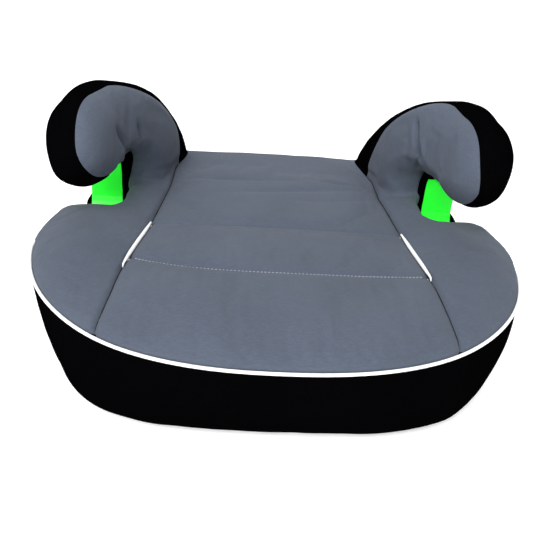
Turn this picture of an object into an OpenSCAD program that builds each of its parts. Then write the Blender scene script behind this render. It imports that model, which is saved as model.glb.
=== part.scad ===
// Backless child booster seat with hooked armrests, lap belt guides and pull-out anchor connectors.
// +X is to the right when the seat is seen from the front, +Y points to the back, +Z is up.
// The origin is on the resting plane, under the middle of the seat.

/* [Seat outline] */
// Half width at the piped edge
half_w = 220; // [210:1:230]
// Distance from the origin to the piped front edge
front_d = 191; // [185:1:200]
// Distance from the origin to the back face
rear_d = 193; // [190:1:200]
// Height of the piped edge above the resting plane, under the middle of the seat
edge_h = 97; // [95:1:100]
// Height of the seat surface above the resting plane
crown_h = 108; // [107:1:112]

/* [Armrests] */
// Height of the armrest top
arm_h = 224; // [220:1:230]
// Height of the armrest underside, above the belt
arm_under = 148; // [145:1:152]
// Outer face of the armrest, from the centre plane
arm_out = 211; // [208:1:214]

/* [Layers] */
// Thickness of the quilted cover
cover_t = 4; // [3:0.5:5]
// Thickness of the foam on the armrests
arm_foam_t = 8; // [6:1:10]
// Wall thickness of the moulded seat shell
wall_t = 3; // [2.5:0.5:3.5]
// Gap left between neighbouring pieces
gap = 0.3; // [0.2:0.05:0.4]
// Diameter of the piping cord
piping_d = 4; // [3:0.5:5]

/* [Anchor connectors] */
// Distance between the centres of the two vehicle anchors
anchor_pitch = 280; // [278:1:282]
// Diameter of a vehicle anchor bar
bar_d = 6; // [6:0.1:6.2]
// Travel of the connectors out of the back
connector_travel = 90; // [60:5:95]

/* [Hidden] */
$fn = 48;
LEFT = -1;
RIGHT = 1;
big = 600;            // longer than the seat, for cutting
sliver = 0.01;        // thickness of an outline that a hull joins
over = 1;             // how far a cut runs past the face it opens

// Outline squareness: 2 is an ellipse, larger is boxier
edge_n = 2.3;
mid_n = 2.7;
low_n = 3.5;
rear_n = 7;
outline_steps = 72;
waist = 0.109;        // share of the width lost towards the back
waist_y = [-30, 100]; // the seat narrows between these two distances

// How far each level of the body stands inside the piped edge: [side, front, back]
low_in = [32, 36, 13];
mid_in = [14, 11, 4];
crown_in = [16, 23, 3];
low_z = 5;
skirt_lift = 1;               // the skirt's lower edge, above the lowest outline
hem_z = [-0.6, 1.4];          // the hem's cord: from the lowest outline, height
hem_in = [0.5, 2.5];          // its outer and inner edge inside that outline
mid_z = 48;
edge_tilt = 1.7;      // degrees, the piped edge rises to the back
crown_tilt = 1.2;

// Moulded shell and tray
deck_z = 87;
tray_z = 2;
tray_t = 2.5;
tray_rim_h = 12;
tray_in = [36, 39, 24];       // how far the tray stands inside the edge: side, front, back
tray_rim_in = 7;
shell_low_z = 7;
seat_play = 0.05;     // gap under a piece that stands on another one
foot_r = 15;
foot_step = [1.5, 0.8];       // the sole is smaller and ends this high
foot_sink = 1;                // depth of the foot's seat in the tray
foot_spots = [[-125, -95], [125, -95], [-105, 135], [105, 135]];
boss_spots = [[-95, -120], [0, -130], [95, -120], [-161, 15], [161, 15], [-70, 150], [0, 150], [70, 150]];
boss_r = 5;
boss_gap = 1;         // between a boss and the tray under it
boss_hole = 30;
screw_r = 2;
screw_play = 0.05;    // round a screw in its thread
screw_free = 0.2;     // round a screw in a hole it only passes through
screw_head = [3.6, 1.8];      // radius and height
screw_socket = [1.6, 1.2];    // radius and depth
tray_screw = 18;
armrest_screw = 12;
guide_screw = 24;
rail_screw = 5.5;
rib_t = 2;
rib_h = 30;
rib_x = [-60, 0, 60];
rib_y = [-80, 60];

// Belt slot, seen from the side: a throat under the armrest and a notch in the seat's edge
throat_c = [62, arm_under - 22];
throat_r = 22;
notch_c = [58, 104];
notch_r = 26;
notch_in = 148;       // the notch cuts the seat edge outside this half width
guide_t = 2.5;
guide_x = [159, 190.5];
guide_screw_x = [167, 183];
guide_screw_y = 52;
guide_y0 = 36;        // the guide ends here in front, the binding a little further back
binding_y0 = 42;
binding_t = 2;
binding_x = [150.5, 157.5];

// Armrest hook, seen from the side: a round nose and a ridge that falls to the back corner
nose_c = [18, arm_h - 38];
nose_r = 38;
ridge = [[nose_c[0], arm_h], [95, arm_h - 2], [140, 175], [rear_d, crown_h]];
arm_corner_r = 34;
arm_bevel_at = [148, 32, arm_h - 8];
arm_bevel_turn = 17.4;
arm_corner_in = 6;    // the armrests follow the seat's rear corners, this far inside the edge
rear_round = 2;
arm_floor = deck_z - 5;     // the side view is closed here, below the deck it stands on
core_nose_pocket_r = 18;
core_pockets_y = [106, 136];
core_screws = [[135, 120], [172, 120], [155, 165]];
core_pocket = [26, 50];     // along y, along z
core_floor = 12;
core_web = [172, 155];        // from here out the pockets are open: in the nose, in the post

// Armrest seen from above: inner face, nose and outer face of the right one
arm_inner = [[104, rear_d], [112, 150], [117, 105], [128, 65], [140, 30], [150, 0]];
arm_nose = [[162, -14], [178, -20], [191, -17]];
arm_outer = [[arm_out - 3, 2], [arm_out, 20], [arm_out - 4, 50], [arm_out - 14, 84], [arm_out - 16, 120],
    [arm_out - 17, 150], [arm_out - 21, rear_d]];
// The seam between the inner panel and the outer sleeve, seen from above
sleeve_seam = [[108, rear_d + 5], [123, 127], [151, 76], [161, 37], [168, 6], [172, -12], [172, -40]];

// Seams of the seat surface
seam_x_rear = 101.5;
seam_x_slope = 0.088;
seam_x_bend = 6.2e-5;
cord_lift = 0.2;      // the cords on these seams lie this far above the seat surface
seam_over = 10;       // the panels are cut from bands that run past the cover's edge
rear_seam_y = 7;
front_seam_y = -73;
piping_end_y = 12;    // the edge piping stops here, in front of the belt slots

// Anchor connectors
arm_size = [24, 28];
arm_wall = 2;
arm_y = [32, 182];
button_y = 130;
bar_c = [166, 24];    // the anchor bar in the closed jaw, y and z
bar_play = 0.1;
jaw_c = bar_c + [-18, 5];   // the jaw's pivot, y and z
jaw_t = 5;
jaw_side = 0.8;       // room beside the jaw in the arm's top
jaw_behind = 3;
jaw_hub_r = 6;
jaw_beam = 3.5;       // half the height of the jaw's tail
jaw_tail_y = button_y + 1;
jaw_shoulder = jaw_hub_r - 0.8;
// the hook, from under the jaw's beam round the bar to its top, from the bar's middle
jaw_hook = [[3.5, 3.5], [4.5, -1.5], [8, -3], [9, 7], [7, 10]];
pin_r = 2.5;
pin_play = 0.05;
rail_y = [20, 140];
rail_t = 2.5;
rail_lip = 5;
rail_foot = [23, 14, 3];      // half width, length, thickness
rail_foot_y = [50, 90];      // the middles of the feet
rail_screw_x = 19;
crossbar_y = 44;
crossbar_r = 6;
crossbar_t = 1.5;
crossbar_play = 1.5;  // room for the bar in the rail's side slot
button_size = [10, 10];
button_nose = [16, 3, 2.8];
button_nose_in = 0.5;
button_z = [bar_c[1] + 9, bar_c[1] + 22];
window_z = [7, 52];   // openings for the connectors in shell and skirt: height, width, depth
window_w = 34;
window_depth = 46;

// ---------- shapes that repeat ----------

function arc(c, r, a0, a1, n = 10) =
    [for (i = [0 : n]) let (a = a0 + (a1 - a0) * i / n) [c[0] + r * cos(a), c[1] + r * sin(a)]];

function bezier(p, t) =
    pow(1 - t, 3) * p[0] + 3 * pow(1 - t, 2) * t * p[1] + 3 * (1 - t) * t * t * p[2] + pow(t, 3) * p[3];

// A point of the curve moved sideways by g, to its left
function bezier_offset(p, t, g) =
    let (d = bezier(p, t + 0.001) - bezier(p, t - 0.001), n = [-d[1], d[0]] / norm(d)) bezier(p, t) + g * n;

// Share of the full width at y
function narrowing(y) =
    let (t = max(0, min(1, (y - waist_y[0]) / (waist_y[1] - waist_y[0])))) 1 - waist * t * t * (3 - 2 * t);

// Seat outline: a across, bf to the front, br to the back, nf and nr their squareness
function outline(a, bf, br, nf, nr) =
    [for (i = [0 : outline_steps - 1])
        let (t = 360 * i / outline_steps, s = sin(t), c = cos(t), p = 2 / (s < 0 ? nf : nr))
        let (y = (s < 0 ? bf : br) * sign(s) * pow(abs(s), p))
        [a * narrowing(y) * sign(c) * pow(abs(c), p), y]];

function seam_x(y) = seam_x_rear + (front_d - y) * seam_x_slope + pow(front_d - y, 2) * seam_x_bend;

module sheet(z, inset, g, nf, tilt = 0)
    translate([0, 0, z]) rotate([tilt, 0, 0]) linear_extrude(sliver)
        polygon(outline(half_w - inset[0] + g, front_d - inset[1] + g, rear_d - inset[2] + g, nf, rear_n));

// The padded body without armrests, grown by g all round
module body_form(g)
    hull() {
        sheet(low_z, low_in, g, low_n);
        sheet(mid_z, mid_in, g, mid_n);
        sheet(edge_h, [0, 0, 0], g, edge_n, edge_tilt);
        sheet(crown_h + g, crown_in, g, edge_n, crown_tilt);
    }

// Everything above (up = true) or below the piped edge, with a shift along z
module edge_side(up, shift)
    translate([0, 0, edge_h + shift]) rotate([edge_tilt, 0, 0])
        translate([0, 0, up ? big / 2 : -big / 2]) cube(big, center = true);

module slab(z0, z1) translate([-big / 2, -big / 2, z0]) cube([big, big, z1 - z0]);

// Side view shapes are drawn in (y, z) and run along x from x0 to x1 on one side of the seat
module along_x(side, x0, x1)
    translate([side > 0 ? x0 : -x1, 0, 0])
        rotate([90, 0, 90]) linear_extrude(x1 - x0) children();

// The belt slot grown by g
module slot_2d(g) {
    r = notch_r + g;
    low = notch_c + r * [cos(225), sin(225)];
    top = arm_under + g;
    polygon(concat(
        arc(notch_c, r, 225, 360),
        arc(throat_c, throat_r + g, 0, 90),
        [[low[0] - (top - low[1]), top]]
    ));
}

module notch_cut(g)
    for (side = [LEFT, RIGHT]) along_x(side, notch_in - g, big / 2) slot_2d(g);

module arm_side_2d(g) {
    steps = 16;
    polygon(concat(
        [for (i = [0 : steps]) bezier_offset(ridge, 0.999 - 0.998 * i / steps, g)],
        arc(nose_c, nose_r + g, 92, 268, 16),
        arc(throat_c, throat_r - g, 90, 0),
        [[throat_c[0] + throat_r - g, arm_floor], [rear_d + g, arm_floor]]
    ));
}

// go moves the outer face, gi all the others
module arm_plan_2d(gi, go)
    polygon(concat(
        [for (p = arm_inner) [p[0] - gi, p[1]]],
        [for (p = arm_nose) [p[0], p[1] - gi]],
        [for (p = arm_outer) [p[0] + go, p[1]]]
    ));

module arm_front_2d(g) {
    r = arm_corner_r;
    top = arm_h + 1;
    polygon(concat(
        [[90, 0], [arm_out + g, 0]],
        arc([arm_out - r, top - r], r + g, 0, 90),
        arc([arm_inner[2][0] + r, top - r], r + g, 90, 160),
        [[90, crown_h]]
    ));
}

// Everything under a sloping plane that takes off the nose's inner top edge
module arm_bevel(g)
    translate(arm_bevel_at) rotate([0, -45, arm_bevel_turn])
        translate([-big / 2, -big / 2, g - big]) cube([big, big, big]);

module one_side(side) mirror([side < 0 ? 1 : 0, 0, 0]) children();

// One padded armrest from the deck up, grown by g all round
module arm_form(side, g)
    one_side(side) intersection() {
        along_x(RIGHT, 80, 240) arm_side_2d(g);
        linear_extrude(big / 2) arm_plan_2d(g, g);
        translate([0, big / 2, 0]) rotate([90, 0, 0]) linear_extrude(big) arm_front_2d(g);
        linear_extrude(big / 2)
            polygon(outline(half_w - arm_corner_in + g, front_d, rear_d - rear_round + g, edge_n, rear_n));
        slab(deck_z + seat_play, big / 2);
        arm_bevel(g);
    }

// Where the armrests stand on the seat: behind the belt slots and out to the sides,
// grown by g at the inner face and by front_g at the front
module arm_zone(g, front_g)
    for (side = [LEFT, RIGHT]) one_side(side) linear_extrude(big / 2) intersection() {
        polygon(concat([for (p = arm_inner) [p[0] - g, p[1]]], [[big / 2, 0], [big / 2, rear_d]]));
        translate([0, throat_c[0] + throat_r - front_g]) square([big, rear_d]);
    }

// ---------- moulded structure ----------

module shell_hollow() {
    difference() {
        intersection() {
            body_form(-cover_t - gap - wall_t);
            slab(-1, deck_z - wall_t);
        }
        notch_cut(cover_t + gap + wall_t);
    }
}

module connector_window(side)
    one_side(side) translate([(anchor_pitch - window_w) / 2, rear_d - window_depth, window_z[0]])
        cube([window_w, 2 * window_depth, window_z[1] - window_z[0]]);

module bosses(r, z0, z1) for (p = boss_spots) translate([p[0], p[1], z0]) cylinder(r = r, h = z1 - z0);

module shell_ribs()
    intersection() {
        shell_hollow();
        slab(deck_z - rib_h, deck_z);
        union() {
            for (x = rib_x) translate([x - rib_t / 2, -big / 2, 0]) cube([rib_t, big, deck_z]);
            for (y = rib_y) translate([-big / 2, y, 0]) cube([big, rib_t, deck_z]);
        }
    }

module seat_shell()
    color([0.05, 0.05, 0.06]) difference() {
        union() {
            difference() {
                intersection() {
                    body_form(-cover_t - gap);
                    slab(shell_low_z, deck_z);
                }
                notch_cut(cover_t + gap);
                shell_hollow();
            }
            shell_ribs();
            bosses(boss_r, tray_z + tray_t + boss_gap, deck_z - wall_t / 2);
        }
        bosses(screw_r + screw_play, 0, boss_hole);
        for (side = [LEFT, RIGHT]) {
            connector_window(side);
            armrest_screw_spots(side) translate([0, 0, -wall_t - over])
                cylinder(r = screw_r + screw_free, h = wall_t + 2 * over);
        }
    }

module tray_outline(inset)
    polygon(outline(half_w - tray_in[0] - inset, front_d - tray_in[1] - inset,
        rear_d - tray_in[2] - inset, low_n, rear_n));

module base_tray()
    color([0.06, 0.06, 0.065]) difference() {
        union() {
            translate([0, 0, tray_z]) linear_extrude(tray_t) tray_outline(0);
            translate([0, 0, tray_z]) linear_extrude(tray_rim_h) difference() {
                tray_outline(tray_rim_in);
                tray_outline(tray_rim_in + tray_t);
            }
        }
        bosses(screw_r + screw_free, 0, tray_rim_h);
        for (p = foot_spots) translate([p[0], p[1], tray_z - over])
            cylinder(r = foot_r + gap, h = over + foot_sink);
        for (side = [LEFT, RIGHT]) {
            // room for the rail and its feet
            one_side(side) translate([anchor_pitch / 2 - rail_foot[0] - over, rail_y[0], tray_z + tray_t])
                cube([2 * rail_foot[0] + 2 * over, big, tray_rim_h]);
            rail_screw_spots(side) cylinder(r = screw_r + screw_free, h = 2 * tray_t);
        }
    }

module rubber_feet()
    color([0.12, 0.12, 0.13]) for (p = foot_spots) translate([p[0], p[1], 0]) {
        cylinder(r = foot_r - foot_step[0], h = foot_step[1] + foot_sink);
        translate([0, 0, foot_step[1]]) cylinder(r = foot_r, h = tray_z + foot_sink - foot_step[1] - seat_play);
    }

// A pan-head screw, head down, its shank pointing up from the origin
module screw(length) {
    translate([0, 0, -screw_head[1]]) difference() {
        cylinder(r = screw_head[0], h = screw_head[1]);
        translate([0, 0, -over]) cylinder(r = screw_socket[0], h = screw_socket[1] + over, $fn = 6);
    }
    cylinder(r = screw_r, h = length);
}

module tray_screws()
    color("silver") for (p = boss_spots) translate([p[0], p[1], tray_z - seat_play]) screw(tray_screw);

// ---------- armrest frames and belt guides ----------

module armrest_screw_spots(side)
    one_side(side) for (p = core_screws) translate([p[0], p[1], deck_z]) children();

module armrest_core(side)
    color([0.07, 0.07, 0.075]) difference() {
        arm_form(side, -cover_t - arm_foam_t - gap);
        // weight-saving pockets, open to the outside
        one_side(side) {
            along_x(RIGHT, core_web[0], big / 2) translate(nose_c) circle(r = core_nose_pocket_r);
            for (y = core_pockets_y)
                translate([core_web[1], y, deck_z + core_floor]) cube([big, core_pocket[0], core_pocket[1]]);
        }
        armrest_screw_spots(side) cylinder(r = screw_r + screw_play, h = armrest_screw);
        guide_screw_spots(side) cylinder(r = screw_r + screw_play, h = guide_screw + over);
    }

module armrest_screws()
    color("silver") for (side = [LEFT, RIGHT])
        armrest_screw_spots(side) translate([0, 0, -wall_t - seat_play]) screw(armrest_screw);

// Screws that hold a belt guide run up into the armrest frame, out of sight under the armrest
module guide_screw_spots(side)
    one_side(side) for (x = guide_screw_x)
        translate([x, guide_screw_y, arm_under - gap - guide_t]) children();

// Room for those screws in cover and foam
module guide_screw_hole(side)
    guide_screw_spots(side) translate([0, 0, -over]) cylinder(r = screw_r + over, h = guide_screw + 2 * over);

module belt_guide(side)
    color([0.1, 0.9, 0.2]) difference() {
        one_side(side) along_x(RIGHT, guide_x[0], guide_x[1]) difference() {
            intersection() {
                slot_2d(-gap);
                translate([guide_y0, 0]) square([big, big]);
            }
            slot_2d(-gap - guide_t);
        }
        guide_screw_spots(side) translate([0, 0, -over])
            cylinder(r = screw_r + screw_free, h = guide_t + 2 * over);
    }

module guide_screws()
    color("silver") for (side = [LEFT, RIGHT])
        guide_screw_spots(side) translate([0, 0, -seat_play]) screw(guide_screw);

// ---------- anchor connectors ----------

module rail_screw_spots(side)
    one_side(side) for (y = rail_foot_y) for (x = [-rail_screw_x, rail_screw_x])
        translate([anchor_pitch / 2 + x, y, tray_z]) children();

// A C-shaped guide that the connector arm slides in; the crossbar runs in its long side slot
module connector_rail(side) {
    w = arm_size[0] / 2 + gap;
    h = arm_size[1] / 2 + gap;
    zc = bar_c[1];
    bar_room = crossbar_r + crossbar_play;
    foot_z = tray_z + tray_t + seat_play;
    color([0.2, 0.2, 0.21]) difference() {
        one_side(side) translate([anchor_pitch / 2, 0, 0]) {
            translate([-w - rail_t, rail_y[0], foot_z])
                cube([2 * (w + rail_t), rail_y[1] - rail_y[0], zc + h + rail_t - foot_z]);
            for (y = rail_foot_y)
                translate([-rail_foot[0], y - rail_foot[1] / 2, foot_z])
                    cube([2 * rail_foot[0], rail_foot[1], rail_foot[2]]);
        }
        one_side(side) translate([anchor_pitch / 2, 0, 0]) {
            translate([-w, rail_y[0] + rail_t, zc - h]) cube([2 * w, big, 2 * h]);
            translate([-w + rail_lip, rail_y[0] - over, zc]) cube([2 * (w - rail_lip), big, big]);
            translate([-w - 2 * rail_t, crossbar_y - bar_room, zc - bar_room])
                cube([w, connector_travel + 2 * bar_room, 2 * bar_room]);
        }
        rail_screw_spots(side) cylinder(r = screw_r + screw_play, h = foot_z + rail_foot[2]);
    }
}

module rail_screws()
    color("silver") for (side = [LEFT, RIGHT])
        rail_screw_spots(side) translate([0, 0, -seat_play]) screw(rail_screw);

module across(side, c, r, x0, x1)
    one_side(side) translate([anchor_pitch / 2 + x0, c[0], c[1]]) rotate([0, 90, 0])
        cylinder(r = r, h = x1 - x0);

module connector_arm(side) {
    w = arm_size[0] / 2;
    h = arm_size[1] / 2;
    zc = bar_c[1];
    slot_r = bar_d / 2 + bar_play;
    color([0.6, 0.6, 0.62]) difference() {
        one_side(side) translate([anchor_pitch / 2 - w, arm_y[0], zc - h])
            difference() {
                cube([2 * w, arm_y[1] - arm_y[0], 2 * h]);
                translate([arm_wall, -over, arm_wall])
                    cube([2 * (w - arm_wall), big, 2 * (h - arm_wall)]);
            }
        across(side, bar_c, slot_r, -w - over, w + over);
        one_side(side) translate([anchor_pitch / 2 - w - over, bar_c[0], zc - slot_r])
            cube([2 * w + 2 * over, big, 2 * slot_r]);
        across(side, jaw_c, pin_r + pin_play, -w - over, w + over);
        // openings in the top for the jaw and the button
        one_side(side) translate([anchor_pitch / 2 - jaw_t / 2 - jaw_side, jaw_c[0] - jaw_behind, zc])
            cube([jaw_t + 2 * jaw_side, big, big]);
        one_side(side) translate([anchor_pitch / 2 - button_size[0] / 2 - gap, button_y - gap, zc])
            cube([button_size[0] + 2 * gap, button_size[1] + 2 * gap, big]);
    }
}

module connector_crossbar() {
    reach = anchor_pitch / 2 - arm_size[0] / 2;
    color([0.6, 0.6, 0.62]) translate([-reach, crossbar_y, bar_c[1]]) rotate([0, 90, 0]) difference() {
        cylinder(r = crossbar_r, h = 2 * reach);
        translate([0, 0, -over]) cylinder(r = crossbar_r - crossbar_t, h = 2 * reach + 2 * over);
    }
}

module jaw_pin(side)
    color("silver") across(side, jaw_c, pin_r, -arm_size[0] / 2, arm_size[0] / 2);

// Hooked plate that closes over the anchor bar; its tail lies under the release button
module connector_jaw(side)
    color([0.7, 0.7, 0.72]) difference() {
        union() {
            across(side, jaw_c, jaw_hub_r, -jaw_t / 2, jaw_t / 2);
            one_side(side) along_x(RIGHT, (anchor_pitch - jaw_t) / 2, (anchor_pitch + jaw_t) / 2) polygon(concat(
                [[jaw_tail_y, jaw_c[1] - jaw_beam], jaw_c + [0, -jaw_beam]],
                [for (p = jaw_hook) bar_c + p],
                [jaw_c + [0, jaw_shoulder], [jaw_tail_y, jaw_c[1] + jaw_beam]]
            ));
        }
        across(side, jaw_c, pin_r + pin_play, -jaw_t, jaw_t);
    }

// Push button in the arm's top; its nose bears on the jaw's tail
module release_button(side)
    color([0.1, 0.85, 0.2]) one_side(side) translate([anchor_pitch / 2, button_y, button_z[0]]) {
        translate([-button_size[0] / 2, 0, button_nose[2]])
            cube([button_size[0], button_size[1], button_z[1] - button_z[0] - button_nose[2]]);
        translate([-button_nose[0] / 2, button_nose_in, 0]) cube(button_nose);
    }

// Coil around the jaw's pin that closes the jaw
module jaw_spring(side) {
    turns = 4;
    per_turn = 16;
    sides = 6;
    coil_r = 4;
    wire_r = 0.5;
    pitch = 1.3;
    n = turns * per_turn;
    points = [for (i = [0 : n]) for (k = [0 : sides - 1])
        let (a = 360 * i / per_turn, b = 360 * k / sides, r = coil_r + wire_r * cos(b))
        [pitch * i / per_turn + wire_r * sin(b), r * cos(a), r * sin(a)]];
    walls = [for (i = [0 : n - 1]) for (k = [0 : sides - 1])
        let (k2 = (k + 1) % sides) [i * sides + k, i * sides + k2, (i + 1) * sides + k2, (i + 1) * sides + k]];
    ends = [[for (k = [sides - 1 : -1 : 0]) k], [for (k = [0 : sides - 1]) n * sides + k]];
    color("silver") one_side(side)
        translate([(anchor_pitch + jaw_t) / 2 + jaw_side, jaw_c[0], jaw_c[1]])
            polyhedron(points, concat(walls, ends));
}

// ---------- padding and cover ----------

module seat_foam()
    color([0.85, 0.83, 0.78]) difference() {
        body_form(-cover_t - gap);
        slab(-1, deck_z + gap);
        notch_cut(cover_t + gap);
        arm_zone(gap, gap);
    }

module armrest_foam(side)
    color([0.85, 0.83, 0.78]) difference() {
        arm_form(side, -cover_t - gap);
        arm_form(side, -cover_t - arm_foam_t);
        guide_screw_hole(side);
    }

// The middle of the seat surface between its two long seams, from y0 to y1, drawn in by g
module between_seams(y0, y1, g) {
    steps = 8;
    side = [for (i = [0 : steps]) let (y = y0 + (y1 - y0) * i / steps) [seam_x(y) - g, y]];
    linear_extrude(big / 2)
        polygon(concat(side, [for (i = [steps : -1 : 0]) [-side[i][0], side[i][1]]]));
}

// The seam round the body: the piping's channel in front, a hairline behind the belt slots
module edge_seam() {
    edge_band(-big / 2, notch_c[0], piping_d / 2);
    edge_band(notch_c[0], big / 2, gap / 2);
}

module edge_band(y0, y1, half)
    translate([0, 0, edge_h]) rotate([edge_tilt, 0, 0]) translate([-big / 2, y0, -half])
        cube([big, y1 - y0, 2 * half]);

module top_cover()
    difference() {
        body_form(0);
        body_form(-cover_t);
        edge_side(false, 0);
        edge_seam();
        arm_zone(-cover_t / 2, gap);
    }

module seam_cords(r)
    for (side = [LEFT, RIGHT]) one_side(side) hull()
        for (y = [front_seam_y, rear_seam_y])
            translate([seam_x(y), y, crown_h + tan(crown_tilt) * y + cord_lift]) sphere(r = r, $fn = 16);

module seat_panel(y0, y1)
    color([0.42, 0.45, 0.52]) difference() {
        intersection() {
            top_cover();
            between_seams(y0 + gap, y1 - gap, gap);
        }
        seam_cords(piping_d / 2 + gap);
    }

// Zone of the armrest, seen from above, that the inner panel covers
module inner_zone(side, g)
    one_side(side) linear_extrude(big / 2)
        polygon(concat([for (p = sleeve_seam) p + [g, 0]], [[85, -40], [85, rear_d + 5]]));

module armrest_cover(side)
    difference() {
        arm_form(side, 0);
        arm_form(side, -cover_t);
        edge_side(false, gap / 2);
        guide_screw_hole(side);
    }

module side_panel(side)
    color([0.4, 0.43, 0.5]) difference() {
        union() {
            intersection() {
                armrest_cover(side);
                inner_zone(side, -gap);
            }
            difference() {
                top_cover();
                one_side(-side) translate([0, -big / 2, 0]) cube(big);
                between_seams(-front_d - seam_over, rear_d + seam_over, -gap);
                notch_cut(0);
            }
        }
        seam_cords(piping_d / 2 + gap);
    }

module armrest_sleeve(side)
    color([0.03, 0.03, 0.035]) difference() {
        armrest_cover(side);
        inner_zone(side, 0);
    }

module skirt()
    color([0.02, 0.02, 0.025]) difference() {
        body_form(0);
        body_form(-cover_t);
        slab(-over, low_z + skirt_lift);
        edge_side(true, 0);
        edge_seam();
        notch_cut(0);
        for (side = [LEFT, RIGHT]) connector_window(side);
    }

// Cord in the seam between seat surface and skirt, from belt notch to belt notch round the front
module edge_piping() {
    reach = piping_d / 2;
    color("white") difference() {
        translate([0, 0, edge_h]) rotate([edge_tilt, 0, 0])
            translate([0, 0, -piping_d / 2 + gap]) linear_extrude(piping_d - 2 * gap) difference() {
                polygon(outline(half_w + reach, front_d + reach, rear_d, edge_n, rear_n));
                polygon(outline(half_w - reach, front_d - reach, rear_d - reach, edge_n, rear_n));
            }
        translate([-big / 2, piping_end_y, 0]) cube(big);
    }
}

module seam_piping(side)
    color("white") intersection() {
        seam_cords(piping_d / 2);
        one_side(side) translate([0, -big / 2, 0]) cube(big);
    }

module slot_binding(side)
    color([0.02, 0.02, 0.025]) one_side(side) along_x(RIGHT, binding_x[0], binding_x[1]) difference() {
        intersection() {
            slot_2d(-gap);
            translate([binding_y0, 0]) square([big, big]);
        }
        slot_2d(-gap - binding_t);
    }

// Elastic cord in the hem, under the skirt's lower edge
module hem_elastic()
    color([0.1, 0.1, 0.1]) translate([0, 0, low_z + hem_z[0]]) linear_extrude(hem_z[1]) difference() {
        hem_outline(hem_in[0]);
        hem_outline(hem_in[1]);
    }

module hem_outline(inset)
    polygon(outline(half_w - low_in[0] - inset, front_d - low_in[1] - inset,
        rear_d - low_in[2] - inset, low_n, rear_n));

seat_shell();
base_tray();
rubber_feet();
tray_screws();
connector_rail(LEFT);  // connector_rail_left
connector_rail(RIGHT);  // connector_rail_right
rail_screws();
armrest_core(LEFT);  // armrest_core_left
armrest_core(RIGHT);  // armrest_core_right
armrest_screws();
belt_guide(LEFT);  // belt_guide_left
belt_guide(RIGHT);  // belt_guide_right
guide_screws();
connector_arm(LEFT);  // connector_arm_left
connector_arm(RIGHT);  // connector_arm_right
connector_crossbar();
jaw_pin(LEFT);  // jaw_pin_left
jaw_pin(RIGHT);  // jaw_pin_right
jaw_spring(LEFT);  // jaw_spring_left
jaw_spring(RIGHT);  // jaw_spring_right
connector_jaw(LEFT);  // connector_jaw_left
connector_jaw(RIGHT);  // connector_jaw_right
release_button(LEFT);  // release_button_left
release_button(RIGHT);  // release_button_right
seat_foam();
armrest_foam(LEFT);  // armrest_foam_left
armrest_foam(RIGHT);  // armrest_foam_right
seat_panel(-front_d - seam_over, front_seam_y);  // seat_panel_front
seat_panel(front_seam_y, rear_seam_y);  // seat_panel_middle
seat_panel(rear_seam_y, rear_d + seam_over);  // seat_panel_rear
side_panel(LEFT);  // side_panel_left
side_panel(RIGHT);  // side_panel_right
armrest_sleeve(LEFT);  // armrest_sleeve_left
armrest_sleeve(RIGHT);  // armrest_sleeve_right
skirt();
edge_piping();
seam_piping(LEFT);  // seam_piping_left
seam_piping(RIGHT);  // seam_piping_right
slot_binding(LEFT);  // slot_binding_left
slot_binding(RIGHT);  // slot_binding_right
hem_elastic();
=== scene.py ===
import math

import bmesh
import bpy
import numpy as np
from mathutils import Matrix, Vector, kdtree, noise


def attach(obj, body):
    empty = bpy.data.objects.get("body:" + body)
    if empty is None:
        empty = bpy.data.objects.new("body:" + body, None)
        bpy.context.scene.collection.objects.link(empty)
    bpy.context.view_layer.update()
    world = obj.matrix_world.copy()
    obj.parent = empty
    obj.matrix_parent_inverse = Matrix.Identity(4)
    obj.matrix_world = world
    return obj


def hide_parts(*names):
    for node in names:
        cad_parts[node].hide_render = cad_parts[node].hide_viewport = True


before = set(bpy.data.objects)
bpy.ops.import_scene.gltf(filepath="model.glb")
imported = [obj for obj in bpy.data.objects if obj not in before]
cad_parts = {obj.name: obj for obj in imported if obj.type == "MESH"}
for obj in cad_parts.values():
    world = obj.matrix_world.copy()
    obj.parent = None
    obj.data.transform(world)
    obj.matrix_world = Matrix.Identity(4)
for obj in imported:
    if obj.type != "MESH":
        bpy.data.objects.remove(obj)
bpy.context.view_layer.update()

MM = 0.001

# ------------------------------------------------------------------ shape, in mm
# X runs across the seat, Y towards its back, Z up from the ground.
# The padded body is a superellipse that the armrests grow out of.

HALF_W, FRONT_D, REAR_D = 221.0, 191.0, 190.0
RIGHT_WIDER = 1.2                         # the padding is not quite the same on both sides
EDGE_N, LOW_N, REAR_N = 2.34, 3.6, 7.0    # squareness at the piped edge, at the hem and at the back
LOW_IN_SIDE, LOW_IN_FRONT, LOW_IN_REAR = 34.5, 33.2, 12.0   # how far the skirt draws in down to the hem
HEM_Z, HEM_ROUND = 1.5, 9.0
SKIRT_TOP = 97.0
WAIST, WAIST_Y = 0.105, (-30.0, 100.0)    # share of the width lost towards the back, and where
EDGE_Z, EDGE_CLIMB = 91.5, 12.5           # height of the piped edge in front, and its climb to the wings
EDGE_CLIMB_Y = (-195, 15)
CORNER_BUMP, CORNER_Y, CORNER_SPREAD = 1.8, -122, 34
PAN_Z, PAN_DIP, PAN_RISE = 109.5, 1.5, 5.5   # the pan in front, its hollow, and its rise to the back
WING_RISE = 9.0                           # padding of the wings beside the pan
PAN_CROWN = 1.5
ARM_BLEND = 8.0                           # rounding where the armrests meet the body

POST_FRONT_Y = 84.0                       # front face of the armrest's post, where the belt slot ends
SLOT_IN_X = 150.0                         # the slot is open from here outwards
SLOT_ROUND = 14.0
SLOT_DENT = 8.0                           # the wall is thinner behind the slot

FRONT_SEAM_Y, REAR_SEAM_Y = -78.5, 7.2
WINDOW_X, WINDOW_Z = 140.0, 29.5          # middle of the openings for the anchor connectors
WINDOW_HALF = (17.0, 22.5)
BACK_Y = 140.0                            # everything behind this belongs to the back

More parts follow.
